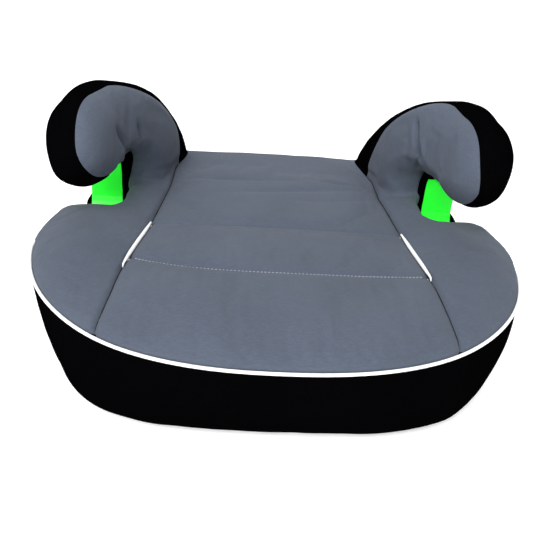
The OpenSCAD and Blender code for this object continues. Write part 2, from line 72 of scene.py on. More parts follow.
COVER_THICK = 2.6
GRID = 3.2
CLOTH_GRID, CLOTH_FRAMES = 5.5, 20
PIN_REACH = 5.0                           # cloth this close to a seam does not move
LIFT_LIMITS = (-3.0, 6.0)
LIFT_SHARE = 0.5                          # the padding under the cover takes up the rest
COVER_BOX = ((-232, -204, -8), (232, 204, 236))


def smoothstep(a, b, x):
    t = np.clip((x - a) / (b - a), 0.0, 1.0)
    return t * t * (3 - 2 * t)


def smin(a, b, k):
    """The smaller of two fields, blended over k where they are nearly equal."""
    h = np.clip(0.5 + 0.5 * (b - a) / k, 0, 1)
    return b + (a - b) * h - k * h * (1 - h)


def smax(a, b, k):
    return -smin(-a, -b, k)


def softplus(x, k):
    """max(x, 0) with its corner rounded over k."""
    return 0.5 * (x + np.sqrt(x * x + k * k))


def round_and(a, b, r):
    """Intersection of two fields with its edge rounded to radius r."""
    inner = np.minimum(np.maximum(a + r, b + r), 0)
    return inner + np.hypot(np.maximum(a + r, 0), np.maximum(b + r, 0)) - r


def arc(cy, cz, r, a0, a1, n=10):
    a = np.radians(np.linspace(a0, a1, n))
    return [(cy + r * math.cos(t), cz + r * math.sin(t)) for t in a]


def spline(pts, n=6):
    """Catmull-Rom curve through given points."""
    p = np.array([pts[0]] + list(pts) + [pts[-1]], float)
    out = []
    for i in range(1, len(p) - 2):
        for t in np.linspace(0, 1, n, endpoint=False):
            a, b, c, d = p[i - 1 : i + 3]
            bend = (2 * a - 5 * b + 4 * c - d) * t * t
            twist = (3 * b - a - 3 * c + d) * t**3
            out.append(0.5 * (2 * b + (c - a) * t + bend + twist))
    return [tuple(q) for q in out] + [tuple(p[-1])]


def poly_field(y, z, pts):
    """Signed distance to a closed polygon, negative inside."""
    pts = np.asarray(pts, float)
    d2 = np.full(y.shape, 1e12)
    inside = np.zeros(y.shape, bool)
    for i in range(len(pts)):
        ay, az = pts[i]
        by, bz = pts[(i + 1) % len(pts)]
        ey, ez = by - ay, bz - az
        wy, wz = y - ay, z - az
        t = np.clip((wy * ey + wz * ez) / max(ey * ey + ez * ez, 1e-9), 0, 1)
        d2 = np.minimum(d2, (wy - ey * t) ** 2 + (wz - ez * t) ** 2)
        crosses = (az > z) != (bz > z)
        with np.errstate(divide="ignore", invalid="ignore"):
            inside ^= crosses & (y < ay + (z - az) * ey / np.where(ez == 0, 1e-9, ez))
    d = np.sqrt(d2)
    return np.where(inside, -d, d)


def outline_field(x, y, half_w, front_d, rear_d, front_n, rear_n):
    """Distance-like field of the seat's outline, negative inside."""
    a = half_w * (1 - WAIST * smoothstep(*WAIST_Y, y))
    b = np.where(y < 0, front_d, rear_d)
    n = np.where(y < 0, front_n, rear_n)
    u, v = np.abs(x) / a + 1e-6, np.abs(y) / b + 1e-6
    q = u**n + v**n
    g = q ** (1 / n)
    gx = q ** (1 / n - 1) * u ** (n - 1) / a
    gy = q ** (1 / n - 1) * v ** (n - 1) / b
    return (g - 1) / np.hypot(gx, gy)


BLUR = ((-14, 1), (-7, 2), (0, 3), (7, 2), (14, 1))     # offset in mm and weight


def along(y, table):
    """Smooth curve through given (y, value) points."""
    ys, vs = np.array(table, float).T
    total, weight = 0.0, 0.0
    for off, w in BLUR:
        total = total + w * np.interp(y + off, ys, vs)
        weight += w
    return total / weight


# ------------------------------------------------------------------ padded body

SIDE_SEAM_LEFT = (      # (y, distance from the middle), front to back
    (-191, 147), (-157, 143), (-122, 137), (-74, 132), (-39, 127),
    (6, 119.5), (66, 113), (144, 104), (191, 101),
)
SIDE_SEAM_RIGHT = (
    (-191, 141), (-159, 138), (-129, 134.5), (-79, 130.5), (-42, 126),
    (7, 121), (71, 115), (138, 104.5), (191, 101),
)
SLOT = (                # side view (y, z) of the opening between wing, post and curl
    [(12, 150), (14, 124), (24, 116), (36, 107), (46, 96), (51, 88)]
    + arc(63, 91, 12, 200, 280, 6)
    + arc(72, 96, 12, 300, 360, 5)
    + [(POST_FRONT_Y, 126)]
    + arc(62, 126, 22, 0, 90, 8)
)


def seam_x(x, y):
    """Distance of the long seam from the middle."""
    return np.where(x > 0, along(y, SIDE_SEAM_RIGHT), along(y, SIDE_SEAM_LEFT))


def front_seam_y(x):
    """The front seam bends back towards its ends, more on the left."""
    t = np.abs(x) / 130.0
    return FRONT_SEAM_Y + np.where(x > 0, 7.0, 18.0) * t**3


def half_width(x):
    return HALF_W + np.where(x > 0, RIGHT_WIDER, 0.0)


def right_lift(x, y):
    """The right wing sits a little higher than the left one."""
    height = 1.0 + 2.6 * smoothstep(150, 200, x)
    return height * smoothstep(150, 200, np.abs(x)) * smoothstep(-60, 5, y)


def edge_z(x, y):
    """Height of the piped edge: it climbs to the back and bulges at the front corners."""
    near = np.exp(-(((y - CORNER_Y) / CORNER_SPREAD) ** 2))
    corner = CORNER_BUMP * near * smoothstep(110, 165, np.abs(x))
    return EDGE_Z + EDGE_CLIMB * smoothstep(*EDGE_CLIMB_Y, y) + corner + right_lift(x, y)


def pan_z(y):
    """Height of the seat surface along the middle, without the rolled front."""
    return PAN_Z - PAN_DIP * smoothstep(-67, 8, y) + PAN_RISE * smoothstep(8, 191, y)


def body_top(x, y):
    """Top of the padding: from the piped edge over a rolled shoulder to the pan, with fuller wings."""
    # the outline runs far past the back, so that only front and sides are rolled
    in_from_edge = -outline_field(x, y, half_width(x), FRONT_D, REAR_D * 1.5, EDGE_N, REAR_N)
    ez, pz = edge_z(x, y), pan_z(y)
    roll = 58 + 50 * smoothstep(-40, -150, y)       # wider in front than at the wings
    u = np.clip(in_from_edge / roll, 0, 1)
    shoulder = (1 - (1 - u) ** 2.3) ** 0.62
    ax = np.abs(x)
    sx = seam_x(x, y)
    t = np.clip((ax - sx) / (HALF_W - sx), 0, 1)    # across the wing, from its seam to the edge
    wing = 4 * t * (1 - t) * WING_RISE * smoothstep(-150, -40, y)
    crown = PAN_CROWN * (1 - np.clip(ax / sx, 0, 1) ** 2)
    return ez + (pz + crown - ez) * shoulder + wing * shoulder


def body_side(x, y, z):
    """The wall of the padded body, without top, hem and slots."""
    u = np.clip(1 - z / SKIRT_TOP, 0, 1.05)         # 0 at the piped edge, 1 at the ground
    f = u**2.0
    middle = np.sin(np.pi * np.clip(u, 0, 1)) ** 2
    bulge = np.where(x > 0, 0.4, -3.0) * middle     # the left side is a little flatter
    behind_slot = SLOT_DENT * smoothstep(87, 98, z) * smoothstep(55, 72, y) * smoothstep(130, 100, y)
    a = half_width(x) - LOW_IN_SIDE * f + bulge - behind_slot
    front = FRONT_D - LOW_IN_FRONT * f + middle
    rear = REAR_D - LOW_IN_REAR * f
    n = EDGE_N + (LOW_N - EDGE_N) * f
    return outline_field(x, y, a, front, rear, n, REAR_N)


def body_field(x, y, z):
    side = round_and(body_side(x, y, z), HEM_Z - z, HEM_ROUND)
    top = z - body_top(x, y)
    body = smax(side, top, 3.0)
    slot_side = poly_field(y, z - right_lift(x, y), SLOT)
    notch = round_and(slot_side, SLOT_IN_X - np.abs(x), SLOT_ROUND)
    return smax(body, -notch, 9.0)


# ------------------------------------------------------------------ armrests

ARM_RIDGE = (           # side view (y, z) of the back edge, from the body up to the curl
    (190, 104), (188, 114), (180, 130), (166, 148), (150, 164),
    (130, 182), (103, 204), (74, 221), (46, 228),
)
ARM_SIDE = (
    [(190, 88)]
    + spline(ARM_RIDGE)
    + arc(17, 183.5, 44.5, 84, 266, 24)
    + [(36, 144), (50, 147)]
    + arc(62, 127, 21, 92, 0, 8)
    + [(POST_FRONT_Y, 88)]
)
# (y, distance from the middle) of the inner and outer faces, and (y, lean of the inner one)
ARM_IN = (
    (-30, 152), (0, 149), (30, 142), (65, 128), (105, 114),
    (125, 108.5), (150, 103.5), (170, 99.5), (193, 97),
)
ARM_LEAN = ((-30, 0.05), (30, 0.10), (75, 0.12), (110, 0.04), (193, 0.0))
ARM_OUT = ((-30, 206), (5, 211), (45, 209), (62, 202), (75, 197), (95, 194), (130, 196), (193, 191))
CURL_MID_X = 182
RIGHT_FULLER = 1.3      # the right armrest is a little thicker at the back


def arm_field(x, y, z):
    """Both armrests: a side view cut off by a leaning inner face and by an outer one drawn in low down."""
    ax = np.abs(x)
    curl = smoothstep(100, 20, y)                   # 0 on the post, 1 on the curl in front of it
    slope = np.where(ax > CURL_MID_X, 0.09, 0.2)    # the curl's underside hangs lower outwards
    droop = slope * (ax - CURL_MID_X) * smoothstep(178, 150, z) * curl
    side = poly_field(y, z + droop, ARM_SIDE)
    lean = along(y, ARM_LEAN) * np.clip(z - 150, 0, 90)
    bowed = 0.0011 * (z - 165) ** 2 * smoothstep(84, 30, y)
    fuller = np.where(x > 0, RIGHT_FULLER, 0.0) * smoothstep(70, 150, y)
    inner = (along(y, ARM_IN) + lean + bowed - fuller - ax) * 0.96
    drawn_in = 9.0 * smoothstep(185, 105, z) + 4.0 * smoothstep(150, 135, z)
    outer = ax - (along(y, ARM_OUT) - drawn_in)
    r_in = 17 + 11 * curl
    r_out = 20 + 18 * curl * smoothstep(150, 205, z) + 6 * curl
    return round_and(round_and(side, inner, r_in), outer, r_out)


def cover_field(x, y, z):
    """The whole padded seat, negative inside."""
    return smin(body_field(x, y, z), arm_field(x, y, z), ARM_BLEND)


def arm_share(x, y, z):
    """1 on the armrests, 0 on the body, in between where they blend."""
    return np.clip((body_field(x, y, z) - arm_field(x, y, z)) / ARM_BLEND + 0.5, 0, 1)


# ------------------------------------------------------------------ where the seams run

# The seam between grey and black on the armrests: over the nose as (y, x), down the ridge as (z, y)
SLEEVE_LEFT = (
    (-40, 175.5), (-20, 176), (-9, 175), (6, 171.5), (22, 167.5),
    (37, 162.5), (58, 153), (76, 150), (200, 150),
)
SLEEVE_RIGHT = (
    (-40, 167), (-22, 166.5), (0, 164), (22, 161.5),
    (42, 158), (58, 154), (76, 152), (200, 152),
)
BACK_LEFT = (
    (90, 146), (122, 145), (139, 144), (160, 133), (181, 115),
    (197, 98.5), (212, 76.5), (221, 60), (232, 42),
)
BACK_RIGHT = (
    (90, 136), (127, 136), (145, 127), (169, 116),
    (188, 103), (206, 87), (217, 73), (232, 50),
)
# The end of the grey inside the slot, as (z, distance from the middle)
SLOT_GREY = ((80, 163), (93, 159), (104, 153), (116, 149.5), (134, 145.5), (147, 142), (165, 142))


def grey_field(x, y, z):
    """Positive on the grey panels, negative on the black ones."""
    ax = np.abs(x)
    above_edge = z - edge_z(x, y)

    # armrest: grey inwards of the sleeve seam and in front of the ridge
    nose = smoothstep(70, 25, y)
    left_x = along(y, SLEEVE_LEFT) - 0.47 * softplus(185 - z, 8.0) * nose
    right_x = along(y, SLEEVE_RIGHT) + 0.2 * np.minimum(softplus(195 - z, 8.0), 30) * nose
    limit = np.where(x > 0, right_x, left_x)
    slot_x = along(z, SLOT_GREY) + np.where(x > 0, 6.0, 0.0)
    in_slot = smoothstep(54, 64, y) * smoothstep(164, 155, z)
    limit = np.minimum(limit, slot_x + 60 * (1 - in_slot))
    back = np.where(x > 0, along(z, BACK_RIGHT), along(z, BACK_LEFT))
    seam = smin(limit - ax, back - y, 15.0) + 2.4

    # body: grey above the piped edge, and down into the slot as far as its outer wall
    in_notch = smoothstep(16, 26, y) * smoothstep(146, 152, ax)
    wing = above_edge + 34 * in_notch
    wing = np.where(in_notch > 0, np.minimum(wing, -body_side(x, y, z) - 1.0), wing)
    behind = smoothstep(56, 66, y)
    body = wing * (1 - behind) + np.minimum(above_edge, seam) * behind

    w = arm_share(x, y, z)
    return body * (1 - w) + seam * w


def side_field(x, y, z):
    """Positive on the middle panels of the seat surface."""
    return seam_x(x, y) - np.abs(x)


def ridge_field(x, y, z):
    """Positive on the pan, negative on the foot of the armrests."""
    return 8 * (0.6 - arm_share(x, y, z))


def front_seam_field(x, y, z):
    return y - front_seam_y(x)


def rear_seam_field(x, y, z):
    return y - REAR_SEAM_Y


def sleeve_field(x, y, z):
    """Positive on the armrest sleeves, negative on the skirt."""
    return z - edge_z(x, y) - 1.0 - 30 * smoothstep(POST_FRONT_Y - 4, 40, y)


def window_across(x, y, z):
    """Positive between the upright edges of the connector openings."""
    return WINDOW_HALF[0] - np.abs(np.abs(x) - WINDOW_X)


def window_up(x, y, z):
    """Positive between the level edges of the connector openings."""
    return WINDOW_HALF[1] - np.abs(z - WINDOW_Z)


# Where each seam is allowed to cut
def on_pan(x, y, z):
    return (z > edge_z(x, y) - 1) & (z < 130) & ((grey_field(x, y, z) > -1) | (y > 120))


def on_ridge_foot(x, y, z):
    return (y > 118) & (side_field(x, y, z) > -3) & (z > edge_z(x, y) - 1)


def on_middle(x, y, z):
    return (side_field(x, y, z) > -4) & (z > 85) & (z < 124)


def on_black_wall(x, y, z):
    return (grey_field(x, y, z) < 1) & (y > 30) & (z < 128)


def on_back(x, y, z):
    return (y > BACK_Y) & (z < 60) & (z > HEM_Z + 1)


def on_back_near_window(x, y, z):
    return on_back(x, y, z) & (window_across(x, y, z) > -1)


CUTS = (
    (grey_field, None),
    (side_field, on_pan),
    (ridge_field, on_ridge_foot),
    (front_seam_field, on_middle),
    (rear_seam_field, on_middle),
    (sleeve_field, on_black_wall),
    (window_across, on_back),
    (window_up, on_back_near_window),
)


# ------------------------------------------------------------------ from fields to meshes

def gradient(field, p, e=0.35):
    g = np.empty_like(p)
    for i in range(3):
        q = p.copy()
        q[:, i] += e
        r = p.copy()
        r[:, i] -= e
        g[:, i] = (field(*q.T) - field(*r.T)) / (2 * e)
    return g


def normals(p):
    n = gradient(cover_field, p)
    return n / np.linalg.norm(n, axis=1)[:, None]


def settle(field, p, steps=3):
    """Points moved onto the zero surface of a field, a few mm at a time."""
    for _ in range(steps):
        g = gradient(field, p)
        f = field(*p.T)
        step = f / np.maximum((g * g).sum(1), 0.05)
        p = p - g * np.clip(step, -2.5, 2.5)[:, None]
    return p


def net(field, lo, hi, h):
    """Surface nets: the zero surface of a field as quads."""
    axes = [np.arange(a, b + h, h) for a, b in zip(lo, hi)]
    X, Y, Z = np.meshgrid(*axes, indexing="ij")
    F = field(X.ravel(), Y.ravel(), Z.ravel()).reshape(X.shape)
    n = [s - 1 for s in F.shape]
    corner = {}
    for dx in (0, 1):
        for dy in (0, 1):
            for dz in (0, 1):
                corner[dx, dy, dz] = F[dx:n[0] + dx, dy:n[1] + dy, dz:n[2] + dz]
    count = sum((c < 0).astype(int) for c in corner.values())
    active = (count > 0) & (count < 8)
    index = np.full(active.shape, -1)
    index[active] = np.arange(active.sum())

    # one vertex per crossed cell, at the mean of the crossings on its edges
    total = np.zeros((active.sum(), 3))
    crossings = np.zeros(active.sum())
    keys = list(corner)
    for i, a in enumerate(keys):
        for b in keys[i + 1:]:
            if sum(abs(p - q) for p, q in zip(a, b)) != 1:
                continue
            fa, fb = corner[a][active], corner[b][active]
            crossed = (fa < 0) != (fb < 0)
            t = np.where(crossed, fa / np.where(crossed, fa - fb, 1), 0)[:, None]
            pa, pb = np.array(a, float), np.array(b, float)
            total += (pa + (pb - pa) * t) * crossed[:, None]
            crossings += crossed
    cells = np.argwhere(active)
    verts = np.array(lo) + h * (cells + total / crossings[:, None])

    # one quad per crossed grid edge, facing outwards
    quads = []
    inside = F < 0
    for axis in range(3):
        u, v = [(1, 2), (2, 0), (0, 1)][axis]
        a = np.take(inside, range(n[axis]), axis)
        b = np.take(inside, range(1, n[axis] + 1), axis)
        hit = np.argwhere(a != b)
        ok = (hit[:, u] > 0) & (hit[:, v] > 0) & (hit[:, u] < n[u]) & (hit[:, v] < n[v])
        hit = hit[ok]
        around = []
        for du, dv in ((-1, -1), (0, -1), (0, 0), (-1, 0)):
            c = hit.copy()
            c[:, u] += du
            c[:, v] += dv
            around.append(index[c[:, 0], c[:, 1], c[:, 2]])
        q = np.stack(around, 1)
        flip = ~a[hit[:, 0], hit[:, 1], hit[:, 2]]
        q[flip] = q[flip][:, ::-1]
        quads.append(q)
    return verts, np.concatenate(quads)


def snap(verts, p, f, g, near):
    """Slides the vertices marked near along the cover onto the zero line of f, and updates f."""
    idx = np.nonzero(near)[0]
    if not len(idx):
        return
    n = normals(p[idx])
    t = g[idx] - (g[idx] * n).sum(1)[:, None] * n
    tt = (t * t).sum(1)
    ok = tt > 0.04
    idx, t, tt = idx[ok], t[ok], tt[ok]
    moved = p[idx] - t * (f[idx] / tt)[:, None]
    far = np.linalg.norm(moved - p[idx], axis=1) > 0.6 * GRID
    for i, q, skip in zip(idx, moved, far):
        if not skip:
            verts[i].co = q
            f[i] = 0.0


def cut(bm, field, keep=None):
    """Splits faces along the zero line of a field, after moving vertices that almost lie on it."""
    verts = list(bm.verts)
    p = np.array([v.co[:] for v in verts])
    f = field(*p.T)
    g = gradient(field, p)
    size = np.sqrt((g * g).sum(1))
    near = (np.abs(f) < 0.3 * GRID * size) & (size > 0.2)
    allowed = np.ones(len(verts), bool) if keep is None else keep(*p.T)
    snap(verts, p, f, g, near & allowed)
    bm.verts.index_update()
    value = dict(zip(verts, f))
    allow = dict(zip(verts, allowed))
    on = [v for v in verts if value[v] == 0.0 and allow[v]]
    for e in list(bm.edges):
        a, b = e.verts
        fa, fb = value[a], value[b]
        if fa * fb < 0 and allow[a] and allow[b]:
            _, split = bmesh.utils.edge_split(e, a, fa / (fa - fb))
            value[split] = 0.0
            allow[split] = True
            on.append(split)
    bmesh.ops.connect_verts(bm, verts=on)


def cover_mesh():
    """Points and faces of the smooth cover, with edges along every seam."""
    v, quads = net(cover_field, *COVER_BOX, GRID)
    v = settle(cover_field, v)
    bm = bmesh.new()
    for p in v:
        bm.verts.new(p)
    bm.verts.ensure_lookup_table()
    for q in quads:
        try:
            bm.faces.new([bm.verts[i] for i in q])
        except ValueError:      # a face that the net makes twice
            pass
    for field, keep in CUTS:
        cut(bm, field, keep)
    bm.verts.index_update()
    bm.verts.ensure_lookup_table()
    mesh = bpy.data.meshes.new("cover_work")
    bm.to_mesh(mesh)
    bm.free()
    work = bpy.data.objects.new("cover_work", mesh)
    bpy.context.scene.collection.objects.link(work)
    finer = work.modifiers.new("finer", "SUBSURF")
    finer.subdivision_type = "SIMPLE"
    finer.levels = 1
    bpy.context.view_layer.update()
    done = bpy.data.meshes.new_from_object(work.evaluated_get(bpy.context.evaluated_depsgraph_get()))
    bpy.data.objects.remove(work)
    p = np.empty(len(done.vertices) * 3)
    done.vertices.foreach_get("co", p)
    p = settle(cover_field, p.reshape(-1, 3), 2)
    return p, [tuple(f.vertices) for f in done.polygons]


def panel_labels(c):
    """The panel that each face belongs to, from its centre; none for the openings."""
    x, y, z = c.T
    left, right = x < 0, x > 0
    pan = (z > edge_z(x, y)) & (side_field(x, y, z) >= 0) & (arm_share(x, y, z) < 0.6)
    grey = (grey_field(x, y, z) > 0) | pan
    sleeve = ~grey & (sleeve_field(x, y, z) > 0)
    before_seam = y < front_seam_y(x)
    before_rear = y < REAR_SEAM_Y
    label = np.full(len(c), "skirt", object)
    label[sleeve & left] = "armrest_sleeve_left"
    label[sleeve & right] = "armrest_sleeve_right"
    label[grey & ~pan & left] = "side_panel_left"
    label[grey & ~pan & right] = "side_panel_right"
    label[pan & before_seam] = "seat_panel_front"
    label[pan & ~before_seam & before_rear] = "seat_panel_middle"
    label[pan & ~before_rear] = "seat_panel_rear"
    under = (z < HEM_Z + 1.2) & (body_field(x, y, np.full(len(c), 16.0)) < -10)
    window = (np.minimum(window_across(x, y, z), window_up(x, y, z)) > 0) & (y > BACK_Y)
    label[under | window] = "none"
    return label


POINTS, FACES = cover_mesh()
PANEL_OF = panel_labels(np.array([POINTS[list(f)].mean(0) for f in FACES]))
NORMALS = normals(POINTS)

# ------------------------------------------------------------------ grooves, folds and cloth

SIDES = {"side_panel_left", "side_panel_right"}
PANELS = {"seat_panel_front", "seat_panel_middle", "seat_panel_rear"}
SLEEVES = {"armrest_sleeve_left", "armrest_sleeve_right"}
SEAMS = (       # the panels on both sides, depth of the groove and how far it reaches
    (PANELS, SIDES, 4.2, 11.0),
    ({"seat_panel_front"}, {"seat_panel_middle"}, 3.2, 11.0),
    ({"seat_panel_middle"}, {"seat_panel_rear"}, 2.6, 10.0),
    (SLEEVES, SIDES, 1.0, 5.0),
    (SLEEVES, {"skirt"}, 2.0, 6.0),
    ({"skirt"}, PANELS | SIDES, 1.6, 9.0),
)
ARM_FOLDS = (   # from, to, width and depth; a negative depth makes a ridge
    # left armrest: the deep fold where the curl leaves the post, and the creases beside it
    ((-149, 18, 194), (-144, 36, 166), 4.0, 5.0),
    ((-146, 32, 170), (-143, 66, 146), 6.0, 7.5),
    ((-152, 24, 176), (-151, 48, 150), 6.0, -2.2),
    ((-136, 52, 190), (-134, 64, 158), 2.6, 3.2),
    ((-134, 62, 164), (-140, 84, 116), 2.6, 3.4),
    ((-130, 56, 186), (-128, 70, 150), 4.0, -1.4),
    ((-140, 44, 180), (-139, 58, 160), 3.0, -1.6),
    # right armrest: one long upright fold and short ones beside it
    ((131, 70, 202), (134, 50, 170), 3.4, 6.5),
    ((134, 52, 180), (143, 68, 146), 4.6, 7.0),
    ((137, 53, 190), (139, 44, 172), 3.6, -2.6),
    ((140, 46, 172), (147, 34, 157), 2.8, 2.4),
    ((127, 74, 176), (130, 80, 140), 4.0, -1.4),
)
PAN_FOLDS = (   # shallow ones at the foot of the armrests and across the rear of the pan
    ((-112, 120, 122), (-100, 150, 118), 4.0, 1.2),
    ((-124, 88, 126), (-112, 128, 120), 4.5, 1.4),
    ((112, 112, 121), (104, 150, 119), 4.0, 1.3),
    ((116, 62, 118), (146, 66, 112), 3.0, 1.3),
    ((-60, 74, 112), (98, 96, 112), 5.0, 0.9),
    ((-96, 104, 112), (20, 108, 114), 4.0, 0.8),
    ((10, 60, 112), (112, 74, 111), 4.0, 0.7),
    ((40, 112, 113), (106, 104, 113), 3.5, 0.9),
)
NEEDLE_LINE = 1.8       # half width of the sharp part of a groove
SHARP_SHARE = 0.45
SEAM_REACH = 40.0       # points further from a seam than this count as this far


def edge_points(a, b):
    """Vertices shared by two sets of panels."""
    va = {i for f, l in zip(FACES, PANEL_OF) if l in a for i in f}
    vb = {i for f, l in zip(FACES, PANEL_OF) if l in b for i in f}
    return np.array(sorted(va & vb))


def distance_to(points, targets, reach=SEAM_REACH):
    """Distance from each point to the nearest target, capped at reach."""
    out = np.full(len(points), reach)
    if not len(targets):
        return out
    lo, hi = targets.min(0) - reach, targets.max(0) + reach
    idx = np.nonzero(((points > lo) & (points < hi)).all(1))[0]
    for k in range(0, len(idx), 4000):
        part = idx[k : k + 4000]
        best = np.full(len(part), reach**2)
        for j in range(0, len(targets), 600):
            d = points[part][:, None, :] - targets[None, j : j + 600, :]
            best = np.minimum(best, (d * d).sum(2).min(1))
        out[part] = np.sqrt(best)
    return out


def groove(points, seam, depth, reach):
    """The dip beside a seam: a sharp needle line in a soft hollow."""
    d = distance_to(points, seam)
    sharp = np.exp(-((d / NEEDLE_LINE) ** 2)) * SHARP_SHARE
    soft = np.exp(-d / (reach * 0.45)) * (1 - SHARP_SHARE)
    return -depth * (sharp + soft)


def crease(points, a, b, width, depth):
    """A fold pressed along the line from a to b, fading at both ends."""
    a, b = np.array(a, float), np.array(b, float)
    ab = b - a
    t = np.clip(((points - a) @ ab) / (ab @ ab), 0, 1)
    d = np.linalg.norm(points - (a + t[:, None] * ab), axis=1)
    fade = np.sin(np.pi * np.clip(t, 0.04, 0.96)) ** 0.6
    return -depth * np.exp(-((d / width) ** 2)) * fade


def ripple(p):
    """Uneven padding: broad bumps of about a millimetre and smaller ones."""
    p = Vector(p)
    return noise.noise(p * 0.021) * 1.1 + noise.noise(p * 0.055 + Vector((9, 4, 2))) * 0.45


def seam_gap(p):
    """Distance-like value of each point from the seams and the hem that hold the cloth."""
    x, y, z = p.T
    grey = grey_field(x, y, z)
    on_top = (grey > 0) & (arm_share(x, y, z) < 0.5)
    inside = on_top & (side_field(x, y, z) > 0)
    gap = np.abs(grey)
    gap = np.where(on_top, np.minimum(gap, np.abs(side_field(x, y, z))), gap)
    gap = np.where(inside, np.minimum(gap, np.abs(front_seam_field(x, y, z))), gap)
    gap = np.where(inside, np.minimum(gap, np.abs(rear_seam_field(x, y, z))), gap)
    return np.where(z < HEM_Z + 12, 0.0, gap)


CLOTH = dict(
    quality=4, mass=0.3, tension_stiffness=12, compression_stiffness=12, shear_stiffness=4,
    bending_stiffness=0.3, air_damping=2, shrink_min=-0.03,
    use_pressure=True, uniform_pressure_force=4, vertex_group_mass="pins",
)


def cloth_lift():
    """Cloth pressed outwards from inside, held along its seams: rest points and how far each one moved."""
    rest, quads = net(cover_field, *COVER_BOX, CLOTH_GRID)
    rest = settle(cover_field, rest, 2)
    me = bpy.data.meshes.new("cloth_work")
    me.from_pydata([tuple(p) for p in rest * MM], [], [tuple(int(i) for i in q) for q in quads])
    o = bpy.data.objects.new("cloth_work", me)
    scene = bpy.context.scene
    scene.collection.objects.link(o)
    pins = o.vertex_groups.new(name="pins")
    for i, gap in enumerate(seam_gap(rest)):
        pins.add([i], 1.0 if gap < PIN_REACH else 0.0, "REPLACE")
    cloth = o.modifiers.new("cloth", "CLOTH")
    for key, value in CLOTH.items():
        setattr(cloth.settings, key, value)
    cloth.settings.effector_weights.gravity = 0
    cloth.collision_settings.use_self_collision = False
    cloth.point_cache.frame_start, cloth.point_cache.frame_end = 1, CLOTH_FRAMES
    for frame_number in range(1, CLOTH_FRAMES + 1):
        scene.frame_set(frame_number)
    moved = o.evaluated_get(bpy.context.evaluated_depsgraph_get()).data
    ended = np.empty(len(rest) * 3)
    moved.vertices.foreach_get("co", ended)
    scene.frame_set(1)
    bpy.data.objects.remove(o)
    lift = ((ended.reshape(-1, 3) / MM - rest) * normals(rest)).sum(1)
    return rest, np.clip(lift, *LIFT_LIMITS)


def carried(points, rest, lift):
    """The lift of the cloth points nearest to each point, weighted by closeness."""
    tree = kdtree.KDTree(len(rest))
    for i, p in enumerate(rest):
        tree.insert(p, i)
    tree.balance()
    out = np.empty(len(points))
    for i, p in enumerate(points):
        near = tree.find_n(p, 4)
        share = [1.0 / (d + 0.5) ** 2 for _, _, d in near]
        out[i] = sum(w * lift[k] for w, (_, k, _) in zip(share, near)) / sum(share)
    return out


def cover_push(points):
    """How far each point of the cover moves along its normal."""
    push = np.zeros(len(points))
    for a, b, depth, reach in SEAMS:
        push += groove(points, points[edge_points(a, b)], depth, reach)
    on_arm = arm_share(*points.T)
    for a, b, width, depth in ARM_FOLDS:
        push += crease(points, a, b, width, depth) * on_arm
    for a, b, width, depth in PAN_FOLDS:
        push += crease(points, a, b, width, depth)
    free = 1 - np.clip(-push / 2.0, 0, 1)       # grooves and folds are held down
    push += np.array([ripple(p) for p in points]) * free
    on_grey = smoothstep(-4, 4, grey_field(*points.T))
    held = LIFT_SHARE * free * (0.3 + 0.7 * on_grey)
    push += held * carried(points, *cloth_lift())
    return push


SURFACE = POINTS + NORMALS * cover_push(POINTS)[:, None]

# ------------------------------------------------------------------ materials

GUIDE_PAINTED_GLOW = 0.38        # painted glow: emission that brightens the guides' vivid green, though they are no lamp


def material(name):
    m = bpy.data.materials.new(name)
    m.use_nodes = True
    nt = m.node_tree
    return m, nt, nt.nodes["Principled BSDF"]


def node(nt, kind, **values):
    n = nt.nodes.new(kind)
    for k, v in values.items():
        n.inputs[k].default_value = v
    return n


def math_node(nt, op, a, b=None):
    n = nt.nodes.new("ShaderNodeMath")
    n.operation = op
    for i, v in enumerate((a, b)):
        if v is None:
            continue
        if isinstance(v, (int, float)):
            n.inputs[i].default_value = v
        else:
            nt.links.new(v, n.inputs[i])
    return n.outputs[0]


def noise_node(nt, coord, scale, detail):
    n = node(nt, "ShaderNodeTexNoise", Scale=scale, Detail=detail)
    nt.links.new(coord, n.inputs["Vector"])
    return n.outputs["Fac"]


def ramp_node(nt, fac, dark, light, start=0.0, stop=1.0):
    ramp = nt.nodes.new("ShaderNodeValToRGB")
    low, high = ramp.color_ramp.elements
    low.position, high.position = start, stop
    low.color, high.color = (*dark, 1), (*light, 1)
    nt.links.new(fac, ramp.inputs[0])
    return ramp.outputs[0]


def bump_node(nt, height, strength, distance):
    b = node(nt, "ShaderNodeBump", Strength=strength, Distance=distance)
    nt.links.new(height, b.inputs["Height"])
    return b.outputs[0]


def weighted(nt, *terms):
    """Sum of (value, weight) pairs."""
    total = math_node(nt, "MULTIPLY", *terms[0])
    for value, weight in terms[1:]:
        total = math_node(nt, "ADD", total, math_node(nt, "MULTIPLY", value, weight))
    return total


def weave(nt, coord, pitch_mm):
    """Threads crossing on every face, from object coordinates: below 0 in the gaps, above on the threads."""
    geo = nt.nodes.new("ShaderNodeNewGeometry")
    split = nt.nodes.new("ShaderNodeSeparateXYZ")
    nt.links.new(coord, split.inputs[0])
    k = 2 * math.pi / (pitch_mm * MM)
    waves = [math_node(nt, "SINE", math_node(nt, "MULTIPLY", split.outputs[i], k)) for i in range(3)]
    facing = nt.nodes.new("ShaderNodeSeparateXYZ")
    nt.links.new(geo.outputs["Normal"], facing.inputs[0])
    total = 0.0
    for i in range(3):
        cross = math_node(nt, "MULTIPLY", waves[(i + 1) % 3], waves[(i + 2) % 3])
        face = math_node(nt, "POWER", math_node(nt, "ABSOLUTE", facing.outputs[i]), 2.0)
        total = math_node(nt, "ADD", math_node(nt, "MULTIPLY", cross, face), total)
    return total


